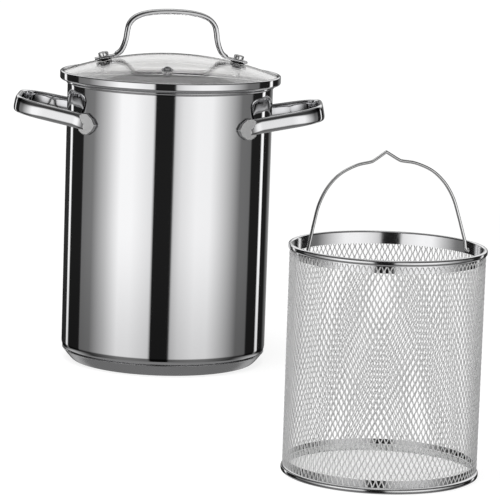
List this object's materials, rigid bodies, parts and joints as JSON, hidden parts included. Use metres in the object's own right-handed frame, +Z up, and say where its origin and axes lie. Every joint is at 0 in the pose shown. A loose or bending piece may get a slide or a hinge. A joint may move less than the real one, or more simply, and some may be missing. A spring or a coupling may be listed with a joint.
{
  "type": "deep fry pot with basket",
  "caption": "Tall polished steel frying pot with a domed glass lid and strap handles, and a round wire mesh basket with a swinging bail standing beside it.",
  "frame": {"origin": "centre of the pot's flat base, on the surface that pot and basket stand on", "axes": "+Z up; the side handles point along +X and -X; the basket stands on the +X, -Y side of the pot"},
  "size_m": [0.3475, 0.5275, 0.2784],
  "materials": {
    "polished_steel": "mirror polished stainless steel",
    "base_steel": "satin stainless steel, finely turned",
    "core_aluminium": "plain",
    "clear_glass": "clear tempered glass",
    "black_silicone": "matt",
    "basket_steel": "polished stainless steel",
    "mesh_wire": "bright drawn wire"
  },
  "bodies": {
    "pot": {"pot_body": "polished_steel", "base_core": "core_aluminium", "base_cap": "base_steel", "handle_left": "polished_steel", "handle_right": "polished_steel"},
    "lid": {"lid_glass": "clear_glass", "lid_rim": "polished_steel", "lid_handle": "polished_steel", "lid_bolt_left": "polished_steel", "lid_bolt_right": "polished_steel", "seal_bush_left": "black_silicone", "seal_bush_right": "black_silicone", "seal_washer_left": "black_silicone", "seal_washer_right": "black_silicone", "steel_washer_left": "polished_steel", "steel_washer_right": "polished_steel", "lid_nut_left": "polished_steel", "lid_nut_right": "polished_steel", "steam_vent": "polished_steel"},
    "basket": {"basket_rim": "basket_steel", "basket_foot_ring": "basket_steel", "basket_wall": "mesh_wire", "basket_floor": "mesh_wire"},
    "bail": {"basket_bail": "basket_steel"}
  },
  "joints": [
    {"name": "lid_lift", "type": "slide", "parent": "pot", "child": "lid", "axis": [0, 0, 1], "range_m": [0, 0.12]},
    {"name": "basket_lift", "type": "slide", "parent": "pot", "child": "basket", "axis": [0, 0, 1], "range_m": [0, 0.26]},
    {"name": "bail_swing", "type": "hinge", "parent": "basket", "child": "bail", "pos_m": [0.1589, -0.3741, 0.1487], "axis": [0.8788, 0.4772, 0], "range_deg": [-72, 84]}
  ]
}
